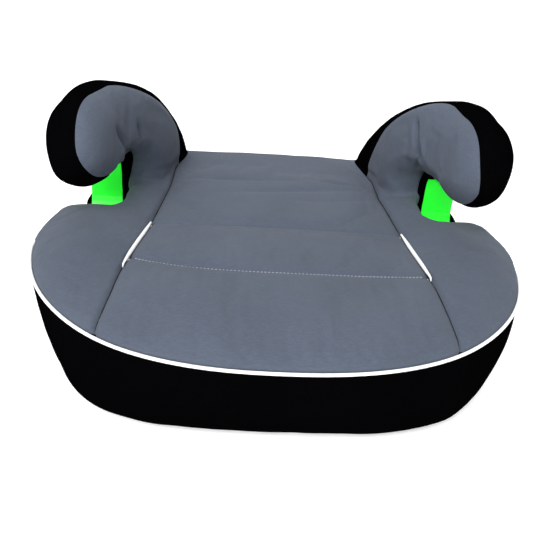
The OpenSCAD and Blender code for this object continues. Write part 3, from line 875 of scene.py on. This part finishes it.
def fabric(name, dark, light, pitch_mm, bump, rough, sheen, specular=0.2):
    """Melange weave: crossing threads, slubs along X and broad unevenness between two colours."""
    m, nt, bsdf = material(name)
    coord = nt.nodes.new("ShaderNodeTexCoord").outputs["Object"]
    threads = weave(nt, coord, pitch_mm)
    fine = noise_node(nt, coord, 1500.0, 2.0)
    stretch = node(nt, "ShaderNodeMapping", Scale=(220, 900, 900))
    nt.links.new(coord, stretch.inputs[0])
    slubs = noise_node(nt, stretch.outputs[0], 1.0, 3.0)
    broad = noise_node(nt, coord, 16.0, 4.0)
    mix = weighted(nt, (threads, 0.16), (fine, 0.45), (slubs, 0.35), (broad, 0.3))
    nt.links.new(ramp_node(nt, mix, dark, light, 0.25, 0.85), bsdf.inputs["Base Color"])
    height = math_node(nt, "ADD", threads, math_node(nt, "MULTIPLY", fine, 1.2))
    nt.links.new(bump_node(nt, height, bump, 0.0004), bsdf.inputs["Normal"])
    uneven = math_node(nt, "ADD", math_node(nt, "MULTIPLY", broad, 0.1), rough)
    nt.links.new(uneven, bsdf.inputs["Roughness"])
    bsdf.inputs["Specular IOR Level"].default_value = specular
    bsdf.inputs["Sheen Weight"].default_value = sheen
    bsdf.inputs["Sheen Roughness"].default_value = 0.5
    return m


def plastic(name, color, rough, grain=2200.0, bump=0.12, wear=0.12, metallic=0.0, glow=None):
    """Moulded surface with a fine grain, slightly uneven in colour and gloss."""
    m, nt, bsdf = material(name)
    coord = nt.nodes.new("ShaderNodeTexCoord").outputs["Object"]
    grains = noise_node(nt, coord, grain, 2.0)
    broad = noise_node(nt, coord, 22.0, 5.0)
    dark = [c * 0.88 for c in color]
    light = [min(1, c * 1.1) for c in color]
    nt.links.new(ramp_node(nt, broad, dark, light), bsdf.inputs["Base Color"])
    uneven = math_node(nt, "ADD", math_node(nt, "MULTIPLY", broad, wear), rough)
    nt.links.new(uneven, bsdf.inputs["Roughness"])
    nt.links.new(bump_node(nt, grains, bump, 0.0002), bsdf.inputs["Normal"])
    bsdf.inputs["Metallic"].default_value = metallic
    # painted glow: emission colour and strength stand in for light falling on the part
    if glow:
        bsdf.inputs["Emission Color"].default_value = (*glow, 1)
        bsdf.inputs["Emission Strength"].default_value = GUIDE_PAINTED_GLOW
    return m


def metal(name, color, rough):
    return plastic(name, color, rough, grain=900.0, bump=0.05, wear=0.25, metallic=1.0)


GREY = fabric("cover_grey", (0.046, 0.057, 0.079), (0.100, 0.119, 0.158), 1.1, 0.35, 0.88, 0.06)
BLACK = fabric("cover_black", (0.0004, 0.0004, 0.0005), (0.0017, 0.0017, 0.0021), 1.1, 0.3, 0.9, 0.0, 0.0)
WHITE = fabric("piping_white", (0.74, 0.74, 0.75), (0.93, 0.93, 0.94), 0.7, 0.2, 0.7, 0.2)
# painted glow: the green guides and release buttons emit light though they are no lamp
GREEN = plastic("guide_green", (0.014, 0.90, 0.028), 0.32, wear=0.1, glow=(0.03, 0.9, 0.045))
SHELL = plastic("shell_plastic", (0.035, 0.035, 0.038), 0.5)
RUBBER = plastic("foot_rubber", (0.03, 0.03, 0.03), 0.75, grain=1400.0)
FOAM = plastic("foam", (0.62, 0.60, 0.52), 0.9, grain=900.0, bump=0.5)
STEEL = metal("screw_steel", (0.62, 0.62, 0.63), 0.32)
ZINC = metal("connector_steel", (0.52, 0.52, 0.54), 0.38)
THREAD = fabric("thread_grey", (0.26, 0.27, 0.33), (0.42, 0.43, 0.50), 0.5, 0.2, 0.7, 0.2)
# painted shade: near-black colour for the cords that stand in for the shadow in the long seams
SEAM_SHADE_DARK = fabric("seam_shade_dark", (0.006, 0.007, 0.010), (0.012, 0.014, 0.019), 0.5, 0.2, 0.8, 0.0)
ELASTIC = fabric("elastic", (0.01, 0.01, 0.01), (0.03, 0.03, 0.03), 0.8, 0.4, 0.8, 0.1)


# ------------------------------------------------------------------ making pieces

def build(name, verts, polys, look, slot_name, nodes=()):
    """A piece from points in mm, painted, riding on the seat and standing for the given CAD nodes."""
    me = bpy.data.meshes.new(name)
    me.from_pydata([tuple(v) for v in np.array(verts) * MM], [], polys)
    me.validate()
    for p in me.polygons:
        p.use_smooth = True
    o = bpy.data.objects.new(name, me)
    bpy.context.scene.collection.objects.link(o)
    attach(o, "seat")
    me.materials.append(look)
    if nodes:
        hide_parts(*nodes)
    return o


def panel(name, thick):
    """One cut of the cover, closed with its inner side and turned-in rim."""
    mine = [f for f, l in zip(FACES, PANEL_OF) if l == name]
    used = sorted({i for f in mine for i in f})
    new = {i: k for k, i in enumerate(used)}
    outer = SURFACE[used]
    inner = outer - NORMALS[used] * thick
    n = len(used)
    polys = [tuple(new[i] for i in f) for f in mine]
    edges = {(a, b): True for f in polys for a, b in zip(f, f[1:] + f[:1])}
    rim = [(a, b) for a, b in edges if (b, a) not in edges]
    inner_polys = [tuple(i + n for i in reversed(f)) for f in polys]
    walls = [(b, a, a + n, b + n) for a, b in rim]
    look, slot_name = (GREY, "cover_grey") if "panel" in name else (BLACK, "cover_black")
    build(name, np.vstack([outer, inner]), polys + inner_polys + walls, look, slot_name, [name])


def rings_to_polys(rings, sides, closed=False):
    """Quads between rings of points that follow each other, with caps unless closed."""
    polys = []
    for i in range(rings if closed else rings - 1):
        j = (i + 1) % rings
        for k in range(sides):
            k2 = (k + 1) % sides
            polys.append((i * sides + k, i * sides + k2, j * sides + k2, j * sides + k))
    if not closed:
        polys.append(tuple(reversed(range(sides))))
        polys.append(tuple((rings - 1) * sides + k for k in range(sides)))
    return polys


def tube(path, radius, sides=10, closed=False, wobble=0.0, taper=0):
    """Round cord along a path, thinner over the last taper points at both ends: points and faces."""
    path = np.array(path, float)
    n = len(path)
    verts = []
    up = np.array([0, 0, 1.0])
    for i in range(n):
        a = path[(i - 1) % n if closed else max(i - 1, 0)]
        b = path[(i + 1) % n if closed else min(i + 1, n - 1)]
        t = (b - a) / np.linalg.norm(b - a)
        s = np.cross(t, up)
        s /= np.linalg.norm(s)
        w = np.cross(s, t)
        r = radius * (1 + wobble * math.sin(i * 2.1))
        if taper:
            r *= 0.35 + 0.65 * min(1, i / taper, (n - 1 - i) / taper) ** 0.6
        elif not closed and i in (0, n - 1):
            r *= 0.55
        for k in range(sides):
            c = 2 * math.pi * k / sides
            verts.append(path[i] + r * (math.cos(c) * s + math.sin(c) * w))
    return verts, [tuple(reversed(p)) for p in rings_to_polys(n, sides, closed)]


def superellipse(t, a, b, n):
    """Point at angle t of a superellipse with half axes a and b."""
    c, s = math.cos(t), math.sin(t)
    return a * math.copysign(abs(c) ** (2 / n), c), b * math.copysign(abs(s) ** (2 / n), s)


def waisted(x, y):
    return x * (1 - WAIST * float(smoothstep(*WAIST_Y, y)))


def strip(path, width, thick, x_mid):
    """Flat band with rounded edges, following a side-view path at one distance from the middle."""
    sides = 14
    section = []
    for k in range(sides):
        c, s = math.cos(2 * math.pi * k / sides), math.sin(2 * math.pi * k / sides)
        u = width / 2 * math.copysign(abs(c) ** 0.5, c)
        v = thick / 2 * math.copysign(abs(s) ** 0.7, s)
        section.append((u, v))
    path = smooth_path(path, 2)
    n = len(path)
    verts = []
    for i in range(n):
        a, b = path[max(i - 1, 0)], path[min(i + 1, n - 1)]
        t = (b - a) / np.linalg.norm(b - a)
        normal = np.array([-t[1], t[0]])
        for u, v in section:
            q = path[i] + normal * v
            verts.append((x_mid + u, q[0], q[1]))
    return verts, rings_to_polys(n, sides)


def on_cover(points, lift):
    """Points moved to the smooth cover and lifted off it."""
    p = settle(cover_field, np.array(points, float), 5)
    return p + normals(p) * lift


def smooth_path(p, rounds=3):
    p = np.array(p, float)
    for _ in range(rounds):
        p[1:-1] = (p[:-2] + 2 * p[1:-1] + p[2:]) / 4
    return p


def stitches(path, pitch, length, radius):
    """A row of short thread loops along a path, dipping into the fabric at both ends."""
    shape = ((0.0, -0.5, 0.4), (0.2, 0.1, 1), (0.5, 0.25, 1), (0.8, 0.1, 1), (1.0, -0.5, 0.4))
    sides = 6
    path = np.array(path, float)
    run = np.concatenate([[0], np.cumsum(np.linalg.norm(np.diff(path, axis=0), axis=1))])

    def at(d):
        return np.array([np.interp(d, run, path[:, a]) for a in range(3)])

    verts, polys = [], []
    for i in range(int(run[-1] / pitch)):
        base = len(verts)
        for along_stitch, dip, thickness in shape:
            d = i * pitch + along_stitch * length
            q = at(d)
            t = at(d + 0.5) - q
            t = t / max(np.linalg.norm(t), 1e-6)
            side = np.cross(t, (0, 0, 1.0))
            side /= np.linalg.norm(side)
            up = np.cross(side, t)
            r = radius * thickness
            for k in range(sides):
                c = 2 * math.pi * k / sides
                verts.append(q + up * dip + r * (math.cos(c) * side + math.sin(c) * up))
        loop = rings_to_polys(len(shape), sides)
        polys += [tuple(base + k for k in reversed(f)) for f in loop]
    return verts, polys


# ------------------------------------------------------------------ cover, cords, bindings and stitches

# the third radius is for the dark cord of painted shade in the long seams
EDGE_CORD_R, SEAM_CORD_R, SEAM_SHADE_R, HEM_CORD_R = 1.35, 1.75, 0.7, 1.3
EDGE_CORD_PAST = math.radians(1)          # the piping runs this far past both sides
EDGE_CORD_POINTS = 260
EDGE_CORD_SINKS_Y = {-1: -40.0, 1: -52.0}   # where it begins to sink into the seam, left and right
EDGE_CORD_LIFT, SINK_RUN, SINK_DEPTH = 0.2, 16, 4.2
SEAM_CORD_Y = (-77, REAR_SEAM_Y + 2)
BINDING_X, BINDING_SIZE = 155.0, (8.0, 3.0)
BINDING_PATH = (            # side view (y, z), from under the curl down the rear wall of the slot
    [(56, 147.5)]
    + arc(62, 126, 21.0, 88, 0, 10)
    + [(83, z) for z in (118, 110, 104)]
    + arc(70, 98, 13.0, 10, -50, 8)
)
HEM_CORD_IN = {"side": 36, "front": 39.5, "rear": 13.5}
HEM_CORD_Z, HEM_CORD_POINTS = 5.2, 180


def edge_cord():
    """White piping round the edge, sinking into its seam before the belt slots."""
    start, turn = -math.pi - EDGE_CORD_PAST, math.pi + 2 * EDGE_CORD_PAST
    ring = []
    for i in range(EDGE_CORD_POINTS + 1):
        x, y = superellipse(start + turn * i / EDGE_CORD_POINTS, HALF_W, FRONT_D, EDGE_N)
        x = waisted(x, y)
        ring.append((x, y, float(edge_z(x, y))))
    ring = np.array(ring)
    sinks = np.where(ring[:, 0] > 0, EDGE_CORD_SINKS_Y[1], EDGE_CORD_SINKS_Y[-1])
    sunk = smoothstep(sinks, sinks + SINK_RUN, ring[:, 1])[:, None]
    path = smooth_path(on_cover(ring, EDGE_CORD_LIFT - SINK_DEPTH * sunk), 4)
    build("edge_piping_cord", *tube(path, EDGE_CORD_R, 12, wobble=0.02),
          WHITE, "piping_white", ["edge_piping"])


def seam_cord(side, sign):
    """Short white piping in the long seam beside the middle panel."""
    path = [(sign * float(seam_x(sign, y)), y, float(pan_z(y))) for y in np.linspace(*SEAM_CORD_Y, 46)]
    path = smooth_path(on_cover(path, -0.9))
    path[[0, -1]] -= (0, 0, 2.5)
    build("seam_piping_cord_" + side, *tube(path, SEAM_CORD_R, 12, wobble=0.02, taper=12),
          WHITE, "piping_white", ["seam_piping_" + side])


def painted_seam_shade(side, sign):
    """Painted shade: a near-black cord along the bottom of the long seam, standing in for the shadow in its
    ditch.
    """
    on_side = [i for i in edge_points(PANELS, SIDES) if sign * POINTS[i, 0] > 0]
    ditch = SURFACE[sorted(on_side, key=lambda i: POINTS[i, 1])][::3]
    build("seam_thread_" + side, *tube(smooth_path(ditch), SEAM_SHADE_R, 8), SEAM_SHADE_DARK, "cover_black")


def slot_binding(side, sign):
    band = strip(BINDING_PATH, *BINDING_SIZE, sign * BINDING_X)
    build("slot_binding_band_" + side, *band, BLACK, "cover_black", ["slot_binding_" + side])


def hem_cord():
    """Elastic inside the skirt's hem."""
    path = []
    for i in range(HEM_CORD_POINTS):
        t = 2 * math.pi * i / HEM_CORD_POINTS
        front = math.sin(t) < 0
        depth = FRONT_D - HEM_CORD_IN["front"] if front else REAR_D - HEM_CORD_IN["rear"]
        x, y = superellipse(t, HALF_W - HEM_CORD_IN["side"], depth, LOW_N if front else REAR_N)
        path.append((waisted(x, y), y, HEM_CORD_Z))
    build("hem_elastic_cord", *tube(path, HEM_CORD_R, 8, closed=True, wobble=0.08),
          ELASTIC, "elastic", ["hem_elastic"])


def topstitching():
    """Stitches on the front panel, beside the front seam."""
    row = [(x, float(front_seam_y(x)) - 2.2, 110.0) for x in np.linspace(-124, 126, 170)]
    path = smooth_path(on_cover(row, -1.3), 4)
    build("stitching_front", *stitches(path, pitch=3.2, length=2.2, radius=0.4), THREAD, "cover_grey")


for name in sorted(set(PANEL_OF) - {"none"}):
    panel(name, COVER_THICK)
edge_cord()
hem_cord()
topstitching()
for side, sign in (("left", -1), ("right", 1)):
    seam_cord(side, sign)
    painted_seam_shade(side, sign)
    slot_binding(side, sign)

# ------------------------------------------------------------------ foam inside the cover

DECK_Z = 87.6               # top of the moulded shell
FOAM_IN, CORE_IN = 8.5, 12.5
SEAT_FOAM_IN = 5.5


def seat_foam_field(x, y, z):
    beside_arms = -(arm_field(x, y, z) + 2)
    return np.maximum(body_field(x, y, z) + SEAT_FOAM_IN, np.maximum(DECK_Z - z, beside_arms))


def arm_foam_field(x, y, z):
    """Between the cover and the armrest's frame."""
    arm = arm_field(x, y, z)
    return np.maximum(np.maximum(arm + FOAM_IN, 112 - z), -(arm + CORE_IN))


def foam_piece(name, field, lo, hi, cad_node, grid):
    v, q = net(field, lo, hi, grid)
    v = settle(field, v, 2)
    build(name, v, [tuple(int(i) for i in f) for f in q], FOAM, "foam", [cad_node])


foam_piece("seat_padding", seat_foam_field, (-222, -192, 78), (222, 192, 122), "seat_foam", 6.0)
for side, x0, x1 in (("left", -222, -95), ("right", 95, 222)):
    foam_piece("armrest_padding_" + side, arm_foam_field, (x0, -34, 96), (x1, 196, 234),
               "armrest_foam_" + side, 3.4)

# ------------------------------------------------------------------ CAD parts

LOOKS = (
    (SHELL, ("seat_shell", "base_tray", "armrest_core_left", "armrest_core_right",
             "connector_rail_left", "connector_rail_right")),
    (RUBBER, ("rubber_feet",)),
    (GREEN, ("belt_guide_left", "belt_guide_right", "release_button_left", "release_button_right")),
    (STEEL, ("tray_screws", "rail_screws", "armrest_screws", "guide_screws",
             "jaw_pin_left", "jaw_pin_right", "jaw_spring_left", "jaw_spring_right")),
    (ZINC, ("connector_arm_left", "connector_arm_right", "connector_crossbar",
            "connector_jaw_left", "connector_jaw_right")),
)
for look, node_names in LOOKS:
    for node_name in node_names:
        looks = bpy.data.objects[node_name].data.materials
        looks.clear()
        looks.append(look)

# ------------------------------------------------------------------ studio, in metres

FLOOR_HALF_W, FLOOR_FRONT, FLOOR_BACK = 5.0, -3.0, 2.2
SWEEP_R, BACKDROP_TOP = 0.9, 4.0
PAPER_GLOW = 0.3
SKY_ON_SEAT, SKY_SEEN = 0.45, 1.0         # the sky lights the seat less than the camera sees of it


def stage_sheet():
    """Floor that turns up into a backdrop far behind."""
    sweep = [
        (FLOOR_BACK + SWEEP_R * math.sin(a), SWEEP_R - SWEEP_R * math.cos(a))
        for a in np.linspace(0.15, math.pi / 2, 12)
    ]
    profile = [(FLOOR_FRONT, 0.0), (FLOOR_BACK, 0.0)] + sweep + [(FLOOR_BACK + SWEEP_R, BACKDROP_TOP)]
    verts = [(x, y, z) for x in (-FLOOR_HALF_W, FLOOR_HALF_W) for y, z in profile]
    n = len(profile)
    polys = [(i, i + n, i + n + 1, i + 1) for i in range(n - 1)]
    me = bpy.data.meshes.new("floor")
    me.from_pydata(verts, [], polys)
    for p in me.polygons:
        p.use_smooth = True
    o = bpy.data.objects.new("floor", me)
    bpy.context.scene.collection.objects.link(o)
    m, nt, bsdf = material("floor_paper")
    coord = nt.nodes.new("ShaderNodeTexCoord").outputs["Object"]
    tone = ramp_node(nt, noise_node(nt, coord, 60.0, 3.0), (0.93, 0.93, 0.93), (0.96, 0.96, 0.96))
    nt.links.new(tone, bsdf.inputs["Base Color"])
    nt.links.new(tone, bsdf.inputs["Emission Color"])
    bsdf.inputs["Emission Strength"].default_value = PAPER_GLOW
    bsdf.inputs["Roughness"].default_value = 0.95
    me.materials.append(m)
    return o


def lamp(name, where, aim, power, size):
    """Round soft box at a place, turned towards another."""
    data = bpy.data.lights.new(name, "AREA")
    data.energy = power
    data.shape = "DISK"
    data.size = size
    o = bpy.data.objects.new(name, data)
    bpy.context.scene.collection.objects.link(o)
    o.location = where
    o.rotation_euler = (Vector(aim) - Vector(where)).to_track_quat("-Z", "Y").to_euler()
    return o


def white_sky():
    """Even light from all round, brighter where the camera looks straight at it."""
    world = bpy.data.worlds.new("studio")
    world.use_nodes = True
    nt = world.node_tree
    sky = nt.nodes["Background"]
    sky.inputs[0].default_value = (1, 1, 1, 1)
    seen = nt.nodes.new("ShaderNodeLightPath").outputs["Is Camera Ray"]
    extra = math_node(nt, "MULTIPLY", seen, SKY_SEEN - SKY_ON_SEAT)
    nt.links.new(math_node(nt, "ADD", extra, SKY_ON_SEAT), sky.inputs[1])
    bpy.context.scene.world = world


CAMERA_AT = Vector((-0.04035, -0.5578, 0.3922))
# turned to the right, tilted down, and rolled so that its right side is a little higher
YAW, PITCH, ROLL = (math.radians(a) for a in (3.39, 30.07, 4.37))
LENS, SENSOR = 44.6, 36.0       # mm


def front_camera():
    """Close in front of the seat and above it, a little to the left and slightly rolled."""
    ahead = Vector((math.sin(YAW) * math.cos(PITCH), math.cos(YAW) * math.cos(PITCH), -math.sin(PITCH)))
    level_right = Vector((math.cos(YAW), -math.sin(YAW), 0))
    level_up = level_right.cross(ahead)
    right = level_right * math.cos(ROLL) + level_up * math.sin(ROLL)
    up = level_up * math.cos(ROLL) - level_right * math.sin(ROLL)
    data = bpy.data.cameras.new("front_camera")
    data.lens = LENS
    data.sensor_width = SENSOR
    camera = bpy.data.objects.new("front_camera", data)
    bpy.context.scene.collection.objects.link(camera)
    turn = Matrix((right, up, -ahead)).transposed().to_4x4()
    turn.translation = CAMERA_AT
    camera.matrix_world = turn
    bpy.context.scene.camera = camera


stage_sheet()
lamp("key_light", (-0.6, -1.88, 2.15), (0, 0, 0.1), 116, 2.4)
lamp("fill_light", (-1.9, -1.6, 1.5), (0, 0, 0.1), 5, 1.8)
lamp("back_light", (0.2, 2.0, 2.2), (0, 0, 0.15), 12, 1.6)
white_sky()
bpy.context.scene.view_settings.view_transform = "Standard"
front_camera()
